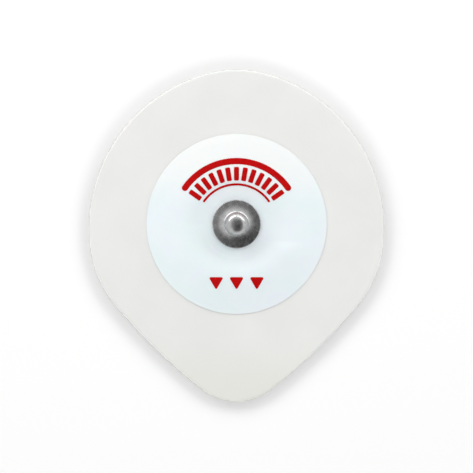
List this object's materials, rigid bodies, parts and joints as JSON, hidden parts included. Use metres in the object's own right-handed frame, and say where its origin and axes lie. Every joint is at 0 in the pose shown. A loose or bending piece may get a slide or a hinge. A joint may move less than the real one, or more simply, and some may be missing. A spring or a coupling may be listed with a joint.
{
  "type": "monitoring electrode",
  "caption": "Disposable snap electrode: a foam carrier with a pull tab, a gel pad and a metal stud that takes a monitor lead and carries the heart's signal from the skin.",
  "frame": {"origin": "on the stud's axis, in the plane that rests on the skin", "axes": "+Z out of the stud, away from the skin; -Y from the stud towards the pull tab; +X to the right as the print is read"},
  "size_m": [0.048, 0.054, 0.0049],
  "materials": {
    "foam": "white closed-cell polyethylene foam",
    "film": "white film with a satin gloss",
    "ink": "deep red printing ink",
    "nickel": "tumbled nickel plate on brass",
    "sensor": "silver and silver chloride coat on moulded plastic",
    "gel": "clear wet hydrogel"
  },
  "bodies": {
    "root": {"foam_carrier": "foam", "film_label": "film", "label_print": "ink", "snap_stud": "nickel", "sensor_eyelet": "sensor", "gel_pad": "gel"}
  },
  "joints": []
}
